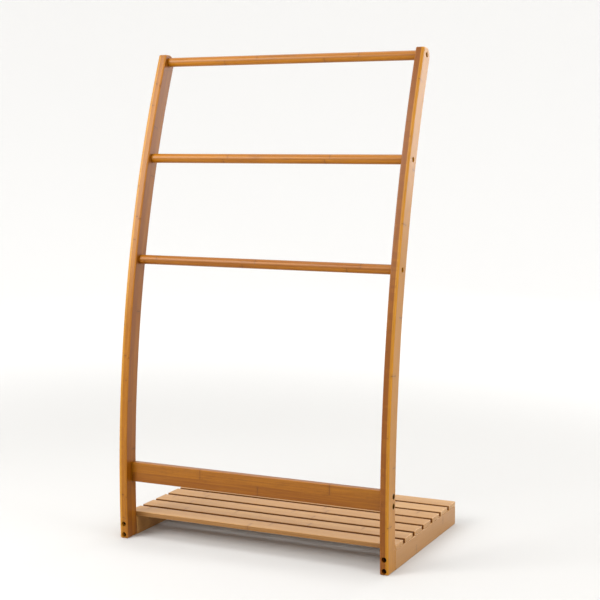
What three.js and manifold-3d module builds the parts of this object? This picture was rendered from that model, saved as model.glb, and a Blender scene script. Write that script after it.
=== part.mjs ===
// Free-standing bamboo towel rack with a slatted shelf at floor level.
//
// Millimetres, +Z up. X runs across the rack, -Y is the front, where the uprights stand, and +Y is the
// back, where the shelf ends. The origin is on the floor, at the centre of the rack's footprint.
//
// Two bowed uprights carry three round bars and a flat crossbar. Two runners stand on the floor behind
// the uprights and carry the slats of the shelf. Screws sunk in counterbores hold the bars, the crossbar
// and the runners to the uprights, and blind dowels hold the slats to the runners.

import * as THREE from 'three';
import { mergeVertices } from 'three/addons/utils/BufferGeometryUtils.js';
import Module from 'manifold-3d';

const wasm = await Module();
wasm.setup();

// ---------------------------------------------------------------- driving dimensions

// Whole rack
const WIDTH = 500; // across the outer faces of the uprights
const HEIGHT = 840; // floor to the top of the uprights

// Uprights: boards bowed along a circular arc, with the hollow side to the back
const UPRIGHT_THICKNESS = 15;
const UPRIGHT_DEPTH = 32; // front face to rear face, measured square to the arc
const BEND_RADIUS = 1970; // of the front face
const PLUMB_LEVEL = 90; // height at which the front face is exactly upright
const TOP_REAR_ROUND = 15; // radius of the rear corner at the top
const TOP_FRONT_ROUND = 2.5; // radius of the front corner at the top
const UPRIGHT_EASE = 1.6; // rounding of the long edges

// Round bars
const BAR_NAMES = ['top', 'middle', 'lower'];
const BAR_DIAMETER = 16;
const BAR_SPACING = 180; // between neighbouring bars, along the middle of the upright
const TOP_BAR_DROP = 13; // axis of the top bar below the top of the upright
const BAR_END_CHAMFER = 0.6;

// Flat crossbar
const CROSSBAR_HEIGHT = 34;
const CROSSBAR_THICKNESS = 12;
const CROSSBAR_LEVEL = 115.5; // middle of the crossbar above the floor
const CROSSBAR_INSET = 3; // crossbar's rear face ahead of the upright's rear face
const CROSSBAR_EASE = 1.2;

// Shelf
const RUNNER_HEIGHT = 33;
const RUNNER_THICKNESS = 15;
const RUNNER_EASE = 1;
const SLAT_COUNT = 7;
const SLAT_WIDTH = 35;
const SLAT_THICKNESS = 8;
const SLAT_GAP = 9;
const SLAT_EASE = 1;

// Screws: round heads with a hexagon socket
const SHANK_DIAMETER = 4.8;
const HEAD_DIAMETER = 7.9;
const HEAD_HEIGHT = 3.2;
const HEAD_CHAMFER = 0.8;
const SOCKET_WIDTH = 4; // across the flats
const SOCKET_DEPTH = 2;
const SCREW_TIP = 3; // length of the tapered tip
const SIDE_SCREW_LENGTH = 40; // under the head, for bars and crossbar
const SIDE_COUNTERBORE_DEPTH = 6.5;
const FOOT_SCREW_LENGTH = 60; // under the head, for runners
const FOOT_COUNTERBORE_DEPTH = 11;
const CROSSBAR_SCREW_SPACING = 16; // upper to lower screw
const RUNNER_SCREW_LEVEL = 6.3; // lower screw above the floor
const RUNNER_SCREW_WALL = 1.05; // bamboo left between the upper screw's hole and the dowel holes above it

// Blind dowels between slats and runners
const DOWEL_DIAMETER = 6;
const DOWEL_IN_SLAT = 5;
const DOWEL_IN_RUNNER = 4; // short, because the upper screw passes below it
const DOWEL_CHAMFER = 0.6;

// Clearances
const JOINT_GAP = 0.3; // between pieces that meet
const HOLE_CLEARANCE = 0.3; // around a shank or a dowel, on the radius
const HEAD_CLEARANCE = 0.35; // around a screw's head in its counterbore, on the radius
const HOLE_SPARE_DEPTH = 1; // beyond the tip of a screw

// Facets
const BOW_STEPS = 20;
const CORNER_STEPS = 5;
const EASE_STEPS = 2;
const COPE_STEPS = 3;
const BAR_SIDES = 32;
const BORE_SIDES = 20;
const SCREW_SIDES = 16;
const DOWEL_SIDES = 12;
const CUTTER_OVERRUN = 5; // how far a cutter stands out of the face it enters

// ---------------------------------------------------------------- derived places

const SIDES = { left: -1, right: 1 };
const INNER_FACE_X = WIDTH / 2 - UPRIGHT_THICKNESS;
const SHANK_HOLE_DIAMETER = SHANK_DIAMETER + 2 * HOLE_CLEARANCE;
const COUNTERBORE_DIAMETER = HEAD_DIAMETER + 2 * HEAD_CLEARANCE;
const DOWEL_HOLE_DIAMETER = DOWEL_DIAMETER + 2 * HOLE_CLEARANCE;

// The arcs of the front and rear faces share one centre. With the foot's front edge at y = 0, it is here:
const BOW_CENTRE_Y = Math.sqrt(BEND_RADIUS ** 2 - PLUMB_LEVEL ** 2);
const REAR_RADIUS = BEND_RADIUS - UPRIGHT_DEPTH;
const MIDDLE_RADIUS = BEND_RADIUS - UPRIGHT_DEPTH / 2;

// y of the arc of the given radius, at the level z
function bowY(radius, z) {
  return BOW_CENTRE_Y - Math.sqrt(radius ** 2 - (z - PLUMB_LEVEL) ** 2);
}

// The slats start at the rear faces of the uprights
const SLAT_UNDERSIDE = RUNNER_HEIGHT + JOINT_GAP;
const SLAT_TOP = SLAT_UNDERSIDE + SLAT_THICKNESS;
const SHELF_FRONT_Y = Math.max(bowY(REAR_RADIUS, SLAT_UNDERSIDE), bowY(REAR_RADIUS, SLAT_TOP)) + JOINT_GAP;
const SHELF_DEPTH = SLAT_COUNT * SLAT_WIDTH + (SLAT_COUNT - 1) * SLAT_GAP;
const SHELF_BACK_Y = SHELF_FRONT_Y + SHELF_DEPTH;

const FRONTMOST_Y = bowY(BEND_RADIUS, THREE.MathUtils.clamp(PLUMB_LEVEL, 0, HEIGHT));
const REARMOST_Y = Math.max(SHELF_BACK_Y, bowY(REAR_RADIUS, HEIGHT));
const FOOTPRINT_CENTRE_Y = (FRONTMOST_Y + REARMOST_Y) / 2;

const CROSSBAR_MIDDLE_Y = bowY(REAR_RADIUS, CROSSBAR_LEVEL) - CROSSBAR_INSET - CROSSBAR_THICKNESS / 2;
const FOOT_SCREW_X = WIDTH / 2 - UPRIGHT_THICKNESS / 2;
const DOWEL_X = WIDTH / 2 - RUNNER_THICKNESS / 2;

// The bars' axes lie on the upright's middle arc, equal steps apart
const TOP_BAR_ANGLE = Math.asin((HEIGHT - TOP_BAR_DROP - PLUMB_LEVEL) / MIDDLE_RADIUS);
const BAR_PLACES = BAR_NAMES.map((name, index) => {
  const angle = TOP_BAR_ANGLE - (index * BAR_SPACING) / MIDDLE_RADIUS;
  return {
    name,
    y: BOW_CENTRE_Y - MIDDLE_RADIUS * Math.cos(angle),
    z: PLUMB_LEVEL + MIDDLE_RADIUS * Math.sin(angle),
  };
});

const CROSSBAR_SCREWS = [
  { name: 'upper', z: CROSSBAR_LEVEL + CROSSBAR_SCREW_SPACING / 2 },
  { name: 'lower', z: CROSSBAR_LEVEL - CROSSBAR_SCREW_SPACING / 2 },
];
const DOWEL_HOLE_FLOOR = RUNNER_HEIGHT - DOWEL_IN_RUNNER;
const RUNNER_SCREWS = [
  { name: 'upper', z: DOWEL_HOLE_FLOOR - RUNNER_SCREW_WALL - SHANK_HOLE_DIAMETER / 2 },
  { name: 'lower', z: RUNNER_SCREW_LEVEL },
];

// Where the screws' heads sit and where their tips end
const SIDE_SEAT_X = WIDTH / 2 - SIDE_COUNTERBORE_DEPTH;
const SIDE_TIP_X = SIDE_SEAT_X + JOINT_GAP - SIDE_SCREW_LENGTH;

function footSeatY(z) {
  return bowY(BEND_RADIUS, z) + FOOT_COUNTERBORE_DEPTH;
}

function footTipY(z) {
  return footSeatY(z) - JOINT_GAP + FOOT_SCREW_LENGTH;
}

// ---------------------------------------------------------------- materials

const bambooDark = { color: 0xb97a3c, roughness: 0.42, metalness: 0 };
const bambooPale = { color: 0xd2a679, roughness: 0.5, metalness: 0 };
const blackSteel = { color: 0x2a211d, roughness: 0.45, metalness: 1 };
const beech = { color: 0xd8b98c, roughness: 0.7, metalness: 0 };

// ---------------------------------------------------------------- solids

// Turns that lay a shape drawn in x, y and extruded along z into the rack: the extrusion then runs
// along the axis named, and the drawing's x and y become the next two axes in X, Y, Z order.
const LAY = {
  X: new THREE.Matrix4().makeBasis(
    new THREE.Vector3(0, 1, 0), new THREE.Vector3(0, 0, 1), new THREE.Vector3(1, 0, 0)),
  Y: new THREE.Matrix4().makeBasis(
    new THREE.Vector3(0, 0, 1), new THREE.Vector3(1, 0, 0), new THREE.Vector3(0, 1, 0)),
  Z: new THREE.Matrix4(),
};

function toSolid(geometry) {
  const bare = geometry.clone();
  bare.deleteAttribute('normal');
  bare.deleteAttribute('uv');
  const merged = mergeVertices(bare);
  return new wasm.Manifold(new wasm.Mesh({
    numProp: 3,
    vertProperties: new Float32Array(merged.attributes.position.array),
    triVerts: new Uint32Array(merged.index.array),
  }));
}

function toGeometry(solid) {
  const mesh = solid.getMesh();
  const geometry = new THREE.BufferGeometry();
  geometry.setAttribute('position', new THREE.BufferAttribute(mesh.vertProperties, 3));
  geometry.setIndex(new THREE.BufferAttribute(mesh.triVerts, 1));
  geometry.computeVertexNormals();
  return geometry;
}

// Takes every cutter away from the geometry
function cut(geometry, cutters) {
  let solid = toSolid(geometry);
  for (const cutter of cutters) {
    solid = solid.subtract(toSolid(cutter));
  }
  return toGeometry(solid);
}

// Points of an arc about (x, y), both ends included
function arc(x, y, radius, from, to, steps) {
  const points = [];
  for (let i = 0; i <= steps; i += 1) {
    const angle = THREE.MathUtils.lerp(from, to, i / steps);
    points.push(new THREE.Vector2(x + radius * Math.cos(angle), y + radius * Math.sin(angle)));
  }
  return points;
}

// A board with the given outline, its edges rounded, reaching from 0 to its thickness on the named axis
function board(outline, thickness, ease, along) {
  const geometry = new THREE.ExtrudeGeometry(new THREE.Shape(outline), {
    depth: thickness - 2 * ease,
    bevelThickness: ease,
    bevelSize: ease,
    bevelOffset: -ease,
    bevelSegments: EASE_STEPS,
  });
  geometry.translate(0, 0, ease);
  return geometry.applyMatrix4(LAY[along]);
}

function rectangle(width, height) {
  return [
    new THREE.Vector2(0, 0),
    new THREE.Vector2(width, 0),
    new THREE.Vector2(width, height),
    new THREE.Vector2(0, height),
  ];
}

// A round cutter that runs from start to end on the named axis, through the given place on the others
function bore(along, start, end, diameter, place) {
  const length = Math.abs(end - start);
  const geometry = new THREE.CylinderGeometry(diameter / 2, diameter / 2, length, BORE_SIDES);
  geometry.rotateX(Math.PI / 2);
  geometry.translate(0, 0, (start + end) / 2);
  geometry.applyMatrix4(LAY[along]);
  return geometry.translate(place.x ?? 0, place.y ?? 0, place.z ?? 0);
}

// Half a turned profile about the axis z, from bottom to top, with chamfers at both ends
function pegProfile(radius, bottom, top, chamfer) {
  return [
    new THREE.Vector2(0, bottom),
    new THREE.Vector2(radius - chamfer, bottom),
    new THREE.Vector2(radius, bottom + chamfer),
    new THREE.Vector2(radius, top - chamfer),
    new THREE.Vector2(radius - chamfer, top),
    new THREE.Vector2(0, top),
  ];
}

function namedMesh(name, geometry, finish) {
  const mesh = new THREE.Mesh(geometry, new THREE.MeshStandardMaterial(finish));
  mesh.name = name;
  return mesh;
}

// ---------------------------------------------------------------- uprights

// The round corner between the level top and a face of the upright: the centre of a circle that touches
// both from inside. The rear face curves away from it and the front face curves round it.
function topCorner(faceRadius, round, isRear) {
  const z = HEIGHT - round;
  const reach = isRear ? faceRadius + round : faceRadius - round;
  const y = BOW_CENTRE_Y - Math.sqrt(reach ** 2 - (z - PLUMB_LEVEL) ** 2);
  return { y, z, lean: Math.atan2(z - PLUMB_LEVEL, BOW_CENTRE_Y - y) };
}

// A stretch of a face's arc, between two angles of lean
function faceArc(radius, fromLean, toLean) {
  return arc(BOW_CENTRE_Y, PLUMB_LEVEL, radius, Math.PI - fromLean, Math.PI - toLean, BOW_STEPS);
}

// Side view of an upright, y across and z up: up the rear face, over the top and down the front face
function uprightOutline() {
  const rear = topCorner(REAR_RADIUS, TOP_REAR_ROUND, true);
  const front = topCorner(BEND_RADIUS, TOP_FRONT_ROUND, false);
  const footLean = (radius) => Math.asin(-PLUMB_LEVEL / radius);
  const rearCorner = arc(rear.y, rear.z, TOP_REAR_ROUND, -rear.lean, Math.PI / 2, CORNER_STEPS);
  const frontCorner = arc(front.y, front.z, TOP_FRONT_ROUND, Math.PI / 2, Math.PI - front.lean, EASE_STEPS);
  return [
    ...faceArc(REAR_RADIUS, footLean(REAR_RADIUS), rear.lean),
    ...rearCorner.slice(1),
    ...frontCorner,
    ...faceArc(BEND_RADIUS, front.lean, footLean(BEND_RADIUS)).slice(1),
  ];
}

// The screws that enter through an upright's outer face
function sideScrewPlaces() {
  return [
    ...BAR_PLACES.map(({ name, y, z }) => ({ name: `bar_${name}_screw`, y, z })),
    ...CROSSBAR_SCREWS.map(({ name, z }) => ({ name: `crossbar_${name}_screw`, y: CROSSBAR_MIDDLE_Y, z })),
  ];
}

function upright(side) {
  const sign = SIDES[side];
  const geometry = board(uprightOutline(), UPRIGHT_THICKNESS, UPRIGHT_EASE, 'X');
  geometry.translate(sign > 0 ? INNER_FACE_X : -WIDTH / 2, 0, 0);
  const beyondOuter = sign * (WIDTH / 2 + CUTTER_OVERRUN);
  const beyondInner = sign * (INNER_FACE_X - CUTTER_OVERRUN);
  const cutters = [];
  for (const place of sideScrewPlaces()) {
    cutters.push(bore('X', beyondOuter, sign * SIDE_SEAT_X, COUNTERBORE_DIAMETER, place));
    cutters.push(bore('X', beyondOuter, beyondInner, SHANK_HOLE_DIAMETER, place));
  }
  for (const { z } of RUNNER_SCREWS) {
    const place = { x: sign * FOOT_SCREW_X, z };
    const beyondFront = bowY(BEND_RADIUS, z) - CUTTER_OVERRUN;
    const beyondRear = bowY(REAR_RADIUS, z) + CUTTER_OVERRUN;
    cutters.push(bore('Y', beyondFront, footSeatY(z), COUNTERBORE_DIAMETER, place));
    cutters.push(bore('Y', beyondFront, beyondRear, SHANK_HOLE_DIAMETER, place));
  }
  return namedMesh(`upright_${side}`, cut(geometry, cutters), bambooDark);
}

// ---------------------------------------------------------------- bars and crossbar

const BETWEEN_HALF = INNER_FACE_X - JOINT_GAP; // half the length of a piece that fits between the uprights

// Pilot holes for side screws in both ends of a piece between the uprights
function endBores(place) {
  return Object.values(SIDES).map((sign) => {
    const outside = sign * (BETWEEN_HALF + CUTTER_OVERRUN);
    return bore('X', outside, sign * (SIDE_TIP_X - HOLE_SPARE_DEPTH), SHANK_HOLE_DIAMETER, place);
  });
}

function bar({ name, y, z }) {
  const profile = pegProfile(BAR_DIAMETER / 2, -BETWEEN_HALF, BETWEEN_HALF, BAR_END_CHAMFER);
  const geometry = new THREE.LatheGeometry(profile, BAR_SIDES).rotateZ(-Math.PI / 2);
  const mesh = namedMesh(`bar_${name}`, cut(geometry, endBores({})), bambooDark);
  mesh.position.set(0, y, z);
  return mesh;
}

function crossbar() {
  const outline = rectangle(CROSSBAR_HEIGHT, 2 * BETWEEN_HALF);
  const geometry = board(outline, CROSSBAR_THICKNESS, CROSSBAR_EASE, 'Y');
  geometry.translate(-BETWEEN_HALF, -CROSSBAR_THICKNESS / 2, -CROSSBAR_HEIGHT / 2);
  const cutters = CROSSBAR_SCREWS.flatMap(({ z }) => endBores({ z: z - CROSSBAR_LEVEL }));
  const mesh = namedMesh('crossbar', cut(geometry, cutters), bambooDark);
  mesh.position.set(0, CROSSBAR_MIDDLE_Y, CROSSBAR_LEVEL);
  return mesh;
}

// ---------------------------------------------------------------- shelf

// y of the middle of each slat
const SLAT_MIDDLES = Array.from({ length: SLAT_COUNT }, (_, index) => (
  SHELF_FRONT_Y + SLAT_WIDTH / 2 + index * (SLAT_WIDTH + SLAT_GAP)));

// Side view of a runner: a board on edge whose front end fits the hollow of the upright's rear face
function runnerOutline() {
  const outline = [new THREE.Vector2(SHELF_BACK_Y, 0), new THREE.Vector2(SHELF_BACK_Y, RUNNER_HEIGHT)];
  for (let step = COPE_STEPS; step >= 0; step -= 1) {
    const z = (RUNNER_HEIGHT * step) / COPE_STEPS;
    outline.push(new THREE.Vector2(bowY(REAR_RADIUS, z) + JOINT_GAP, z));
  }
  return outline;
}

function runner(side) {
  const sign = SIDES[side];
  const geometry = board(runnerOutline(), RUNNER_THICKNESS, RUNNER_EASE, 'X');
  geometry.translate(sign * DOWEL_X - RUNNER_THICKNESS / 2, 0, 0);
  const aboveRunner = RUNNER_HEIGHT + CUTTER_OVERRUN;
  const cutters = SLAT_MIDDLES.map((y) => (
    bore('Z', aboveRunner, DOWEL_HOLE_FLOOR, DOWEL_HOLE_DIAMETER, { x: sign * DOWEL_X, y })));
  for (const { z } of RUNNER_SCREWS) {
    const beyondFront = bowY(REAR_RADIUS, z) - CUTTER_OVERRUN;
    const end = footTipY(z) + HOLE_SPARE_DEPTH;
    cutters.push(bore('Y', beyondFront, end, SHANK_HOLE_DIAMETER, { x: sign * FOOT_SCREW_X, z }));
  }
  return namedMesh(`runner_${side}`, cut(geometry, cutters), bambooPale);
}

function slat(middleY, index) {
  const geometry = board(rectangle(WIDTH, SLAT_WIDTH), SLAT_THICKNESS, SLAT_EASE, 'Z');
  geometry.translate(-WIDTH / 2, -SLAT_WIDTH / 2, 0);
  const cutters = Object.values(SIDES).map((sign) => (
    bore('Z', -CUTTER_OVERRUN, DOWEL_IN_SLAT, DOWEL_HOLE_DIAMETER, { x: sign * DOWEL_X })));
  const mesh = namedMesh(`slat_${index + 1}`, cut(geometry, cutters), bambooPale);
  mesh.position.set(0, middleY, SLAT_UNDERSIDE);
  return mesh;
}

function dowel(middleY, index, side) {
  const bottom = DOWEL_HOLE_FLOOR + JOINT_GAP;
  const top = SLAT_UNDERSIDE + DOWEL_IN_SLAT - JOINT_GAP;
  const profile = pegProfile(DOWEL_DIAMETER / 2, bottom, top, DOWEL_CHAMFER);
  const geometry = new THREE.LatheGeometry(profile, DOWEL_SIDES).rotateX(Math.PI / 2);
  const mesh = namedMesh(`slat_${index + 1}_dowel_${side}`, geometry, beech);
  mesh.position.set(SIDES[side] * DOWEL_X, middleY, 0);
  return mesh;
}

// ---------------------------------------------------------------- screws

// A screw that points down: the underside of its head is at z = 0
function screwGeometry(length) {
  const headRadius = HEAD_DIAMETER / 2;
  const shankRadius = SHANK_DIAMETER / 2;
  const profile = [
    new THREE.Vector2(0, -length),
    new THREE.Vector2(shankRadius, -length + SCREW_TIP),
    new THREE.Vector2(shankRadius, 0),
    new THREE.Vector2(headRadius, 0),
    new THREE.Vector2(headRadius, HEAD_HEIGHT - HEAD_CHAMFER),
    new THREE.Vector2(headRadius - HEAD_CHAMFER, HEAD_HEIGHT),
    new THREE.Vector2(0, HEAD_HEIGHT),
  ];
  const body = new THREE.LatheGeometry(profile, SCREW_SIDES).rotateX(Math.PI / 2);
  const socketRadius = SOCKET_WIDTH / Math.sqrt(3);
  const socket = new THREE.CylinderGeometry(socketRadius, socketRadius, 2 * SOCKET_DEPTH, 6);
  socket.rotateX(Math.PI / 2).translate(0, 0, HEAD_HEIGHT);
  return cut(body, [socket]);
}

function sideScrew({ name, y, z }, side) {
  const mesh = namedMesh(`${name}_${side}`, screwGeometry(SIDE_SCREW_LENGTH), blackSteel);
  mesh.rotation.y = SIDES[side] * (Math.PI / 2);
  mesh.position.set(SIDES[side] * (SIDE_SEAT_X + JOINT_GAP), y, z);
  return mesh;
}

function footScrew({ name, z }, side) {
  const mesh = namedMesh(`runner_${name}_screw_${side}`, screwGeometry(FOOT_SCREW_LENGTH), blackSteel);
  mesh.rotation.x = Math.PI / 2;
  mesh.position.set(SIDES[side] * FOOT_SCREW_X, footSeatY(z) - JOINT_GAP, z);
  return mesh;
}

// ---------------------------------------------------------------- assembly

function assemble() {
  const rack = new THREE.Group();
  for (const side of Object.keys(SIDES)) {
    rack.add(upright(side), runner(side));
    rack.add(...sideScrewPlaces().map((place) => sideScrew(place, side)));
    rack.add(...RUNNER_SCREWS.map((screw) => footScrew(screw, side)));
    rack.add(...SLAT_MIDDLES.map((middleY, index) => dowel(middleY, index, side)));
  }
  rack.add(...BAR_PLACES.map(bar));
  rack.add(crossbar());
  rack.add(...SLAT_MIDDLES.map(slat));
  rack.position.y = -FOOTPRINT_CENTRE_Y;
  return rack;
}

export default assemble();
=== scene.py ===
"""Builds a free-standing bamboo towel rack around its CAD frame, laid out as an add-on and run as a script.

Everything is in metres, +Z up. X runs across the rack, -Y is the front, where the bowed uprights stand, and
+Y is the back, where the slatted shelf ends. Every piece goes where its CAD node is.
"""

import math
from functools import partial

import bpy
import numpy as np
from bpy.props import FloatProperty, FloatVectorProperty, IntProperty, PointerProperty
from bpy.types import Operator, Panel, PropertyGroup
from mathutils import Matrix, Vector


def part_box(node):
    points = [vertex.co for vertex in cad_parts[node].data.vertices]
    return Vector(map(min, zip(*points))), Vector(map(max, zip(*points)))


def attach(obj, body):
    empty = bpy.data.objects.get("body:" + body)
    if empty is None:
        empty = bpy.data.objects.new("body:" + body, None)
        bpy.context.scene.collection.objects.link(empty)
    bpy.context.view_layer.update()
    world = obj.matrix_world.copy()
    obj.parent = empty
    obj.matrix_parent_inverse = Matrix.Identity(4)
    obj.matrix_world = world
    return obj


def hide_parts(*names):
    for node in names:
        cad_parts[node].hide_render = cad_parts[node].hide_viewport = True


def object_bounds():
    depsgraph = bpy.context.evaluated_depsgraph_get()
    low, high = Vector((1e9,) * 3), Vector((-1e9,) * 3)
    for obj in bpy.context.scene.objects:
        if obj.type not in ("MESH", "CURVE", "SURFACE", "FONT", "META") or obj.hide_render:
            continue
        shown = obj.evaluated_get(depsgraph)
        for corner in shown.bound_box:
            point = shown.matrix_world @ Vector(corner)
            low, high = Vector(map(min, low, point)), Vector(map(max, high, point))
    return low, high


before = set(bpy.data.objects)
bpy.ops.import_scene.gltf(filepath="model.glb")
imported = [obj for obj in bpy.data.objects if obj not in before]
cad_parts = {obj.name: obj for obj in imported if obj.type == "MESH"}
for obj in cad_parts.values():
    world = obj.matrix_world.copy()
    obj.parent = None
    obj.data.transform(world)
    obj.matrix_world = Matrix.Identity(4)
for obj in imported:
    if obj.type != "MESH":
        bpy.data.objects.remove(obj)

CAD_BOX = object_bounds()

bl_info = {
    "name": "Bamboo towel rack",
    "version": (1, 0, 0),
    "blender": (4, 5, 0),
    "location": "3D View > Sidebar > Towel Rack",
    "description": "Builds a free-standing bamboo towel rack with a slatted shelf around its CAD frame",
    "category": "Object",
}

BODY = "root"
MM = 0.001
SIDES = {"left": -1, "right": 1}
BARS = ("top", "middle", "lower")
SLATS = sorted((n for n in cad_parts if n.startswith("slat_") and "dowel" not in n))
SIDE_SCREWS = ("bar_top", "bar_middle", "bar_lower", "crossbar_upper", "crossbar_lower")
FOOT_SCREWS = ("runner_upper", "runner_lower")
SMOOTH_ANGLE = math.radians(32)  # edges that turn further than this stay crisp
OVERRUN = 5 * MM  # how far a cutter goes beyond the piece
FACING = 0.75  # a face looks along a direction when its normal's share along it is more than this
# Added to a piece's own pattern of tones, which runs from 0.5, the deepest, to 1.3, the palest
# The right upright's deeper tone is painted shade: a darker copy of the left upright's bamboo, for its being
# less lit
TONES = {"upright_left": 0.0, "upright_right": -0.33, "crossbar": -0.1, "runner": -0.3, "slat": -0.1}
# Painted shade: how much of the fibres' dark colour the slats' narrow faces take on, for the shade in
# the gaps between the slats: the front slat's, the others'
FRONT_SLAT_GAP_SHADE, SLAT_GAP_SHADE = 0.42, 0.9
X, Y, Z = 0, 1, 2


# ---------------------------------------------------------------- settings

def linear(colour):
    """The linear RGB of an sRGB colour written as 0xRRGGBB."""
    parts = [((colour >> shift) & 0xFF) / 255 for shift in (16, 8, 0)]
    return tuple(c / 12.92 if c <= 0.04045 else ((c + 0.055) / 1.055) ** 2.4 for c in parts)


def length_setting(name, description, default):
    return FloatProperty(
        name=name, description=description, default=default, min=0, unit="LENGTH", precision=5)


def colour_setting(name, description, colour):
    return FloatVectorProperty(
        name=name, description=description, default=linear(colour), subtype="COLOR", min=0, max=1)


class UprightSettings(PropertyGroup):
    """The bow of the uprights and the rounding of their edges."""
    bow_radius: length_setting("Bow radius", "Radius of the arc of the front face", 1.970)
    plumb_level: length_setting("Plumb level", "Height at which the front face is exactly upright", 0.090)
    depth: length_setting("Depth", "Front face to rear face, square to the arc", 0.032)
    top_rear_round: length_setting("Top rear round", "Radius of the rear corner at the top", 0.015)
    top_front_round: length_setting("Top front round", "Radius of the front corner at the top", 0.0027)
    edge_round: length_setting("Edge round", "Radius of the long edges", 0.0024)


class BoardSettings(PropertyGroup):
    """The rounding of the flat boards and of the bars' ends."""
    crossbar_edge: length_setting("Crossbar edge", "Radius of the crossbar's edges", 0.0014)
    runner_edge: length_setting("Runner edge", "Radius of the runners' edges", 0.0011)
    slat_edge: length_setting("Slat edge", "Radius of the slats' edges", 0.0011)
    bar_edge: length_setting("Bar edge", "Radius of the edge at a bar's ends", 0.0006)
    joint_gap: length_setting("Joint gap", "Gap between a runner and its upright", 0.0003)


class FastenerSettings(PropertyGroup):
    """Screws, their holes and the dowels."""
    counterbore: length_setting("Counterbore", "Diameter of the hole for a screw's head", 0.0086)
    side_seat: length_setting("Side seat", "Depth of a counterbore in an upright's outer face", 0.0065)
    foot_seat: length_setting("Foot seat", "Depth of a counterbore in an upright's front face", 0.011)
    hole: length_setting("Hole", "Diameter of the hole for a screw's shank", 0.0054)
    mouth_round: length_setting("Mouth round", "Softening of a counterbore's mouth", 0.0003)
    shank: length_setting("Shank", "Diameter over the screw's thread", 0.0048)
    thread_pitch: length_setting("Thread pitch", "Rise of the thread in one turn", 0.0022)
    thread_depth: length_setting("Thread depth", "Depth of the thread", 0.0007)
    head_height: length_setting("Head height", "Height of a screw's head", 0.0032)
    head_round: length_setting("Head round", "Radius of the head's upper edge", 0.0008)
    socket_width: length_setting("Socket width", "Across the flats of the hexagon socket", 0.004)
    socket_depth: length_setting("Socket depth", "Depth of the hexagon socket", 0.002)
    dowel_hole: length_setting("Dowel hole", "Diameter of the holes for the dowels", 0.0066)
    flutes: IntProperty(name="Flutes", description="Glue grooves around a dowel", default=18, min=3, max=60)


class FinishSettings(PropertyGroup):
    """Colours of the bamboo, the steel and the studio."""
    caramel: colour_setting("Caramel", "Carbonised bamboo, the paler fibres", 0xB0700E)
    caramel_deep: colour_setting("Deep caramel", "Carbonised bamboo, the darker fibres", 0x824600)
    honey: colour_setting("Honey", "The uprights' outermost layer, the paler fibres", 0xD59A34)
    honey_deep: colour_setting("Deep honey", "The uprights' outermost layer, the darker fibres", 0xB5780F)
    sand: colour_setting("Sand", "Natural bamboo, the paler fibres", 0xD6A86C)
    sand_deep: colour_setting("Deep sand", "Natural bamboo, the darker fibres", 0xB48244)
    fibre: colour_setting("Fibre", "The darkest fibre bundles and the knots' lines", 0x5A2E08)
    steel: colour_setting("Steel", "Steel with a black oxide finish", 0x2A211D)
    floor: colour_setting("Floor", "The studio's floor and wall", 0xC6C5C3)


class StudioSettings(PropertyGroup):
    """The camera and the studio."""
    azimuth: FloatProperty(
        name="Azimuth", description="Camera's turn to the right of the front", default=math.radians(25.08),
        subtype="ANGLE")
    elevation: FloatProperty(
        name="Elevation", description="Camera's angle above the level", default=math.radians(5.49),
        subtype="ANGLE")
    distance: length_setting("Distance", "From the camera to the point that it looks at", 2.3634)
    aim: FloatVectorProperty(
        name="Aim", description="Point looked at, from the middle of the rack's box",
        default=(0.0139, 0.0100, 0.0351), subtype="TRANSLATION")
    lens: FloatProperty(name="Lens", description="Focal length in millimetres", default=81.36, min=1)
    rise: FloatProperty(name="Rise", description="Vertical shift of the lens, as a share of the picture",
                        default=-0.0417)


class RackSettings(PropertyGroup):
    """All settings of the towel rack."""
    upright: PointerProperty(type=UprightSettings)
    board: PointerProperty(type=BoardSettings)
    fastener: PointerProperty(type=FastenerSettings)
    finish: PointerProperty(type=FinishSettings)
    studio: PointerProperty(type=StudioSettings)


# ---------------------------------------------------------------- surfaces

def node_box(name):
    """Lowest and highest corner of a CAD node, as arrays."""
    low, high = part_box(name)
    return np.array(low), np.array(high)


def ring_quads(rings):
    """Quads between neighbouring rows of a table of vertex numbers, each row a closed ring."""
    after = np.roll(rings, -1, axis=1)
    return np.stack([rings[:-1], after[:-1], after[1:], rings[1:]], -1).reshape(-1, 4)


def sheet_quads(sheet):
    """Quads of an open sheet, from its table of vertex numbers."""
    return np.stack([sheet[:-1, :-1], sheet[:-1, 1:], sheet[1:, 1:], sheet[1:, :-1]], -1).reshape(-1, 4)


def facing_out(points, faces):
    """The faces, turned over if the volume that they enclose comes out negative.

    The volume is a sixth of the sum of a . (b x c) over the triangles of every face's fan.
    """
    volume = 0.0
    for group in faces:
        for k in range(1, group.shape[1] - 1):
            a, b, c = (points[group[:, i]] for i in (0, k, k + 1))
            volume += np.einsum("ij,ij->i", a, np.cross(b, c)).sum()
    return [group[:, ::-1] for group in faces] if volume < 0 else faces


def new_mesh(name, points, faces):
    """A mesh from points and a list of face tables, each with its own number of corners."""
    mesh = bpy.data.meshes.new(name)
    turned = facing_out(points, faces)
    mesh.from_pydata(points.tolist(), [], [face for group in turned for face in group.tolist()])
    mesh.validate()
    return mesh


def new_piece(name, mesh):
    piece = bpy.data.objects.new(name, mesh)
    bpy.context.scene.collection.objects.link(piece)
    return piece


def turned_surface(rings):
    """Closed surface of a peg: rings of points, joined to a pole at the first and the last ring's middle.

    rings has the shape (rings, points in a ring, 3).
    """
    count, size = rings.shape[:2]
    numbers = np.arange(count * size).reshape(count, size)
    poles = np.stack([rings[0].mean(0), rings[-1].mean(0)])
    points = np.concatenate([rings.reshape(-1, 3), poles])
    fans = []
    for pole, ring in ((count * size, numbers[0]), (count * size + 1, numbers[-1][::-1])):
        fans.append(np.stack([np.full(size, pole), np.roll(ring, -1), ring], -1))
    return points, [ring_quads(numbers), np.concatenate(fans)]


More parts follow.
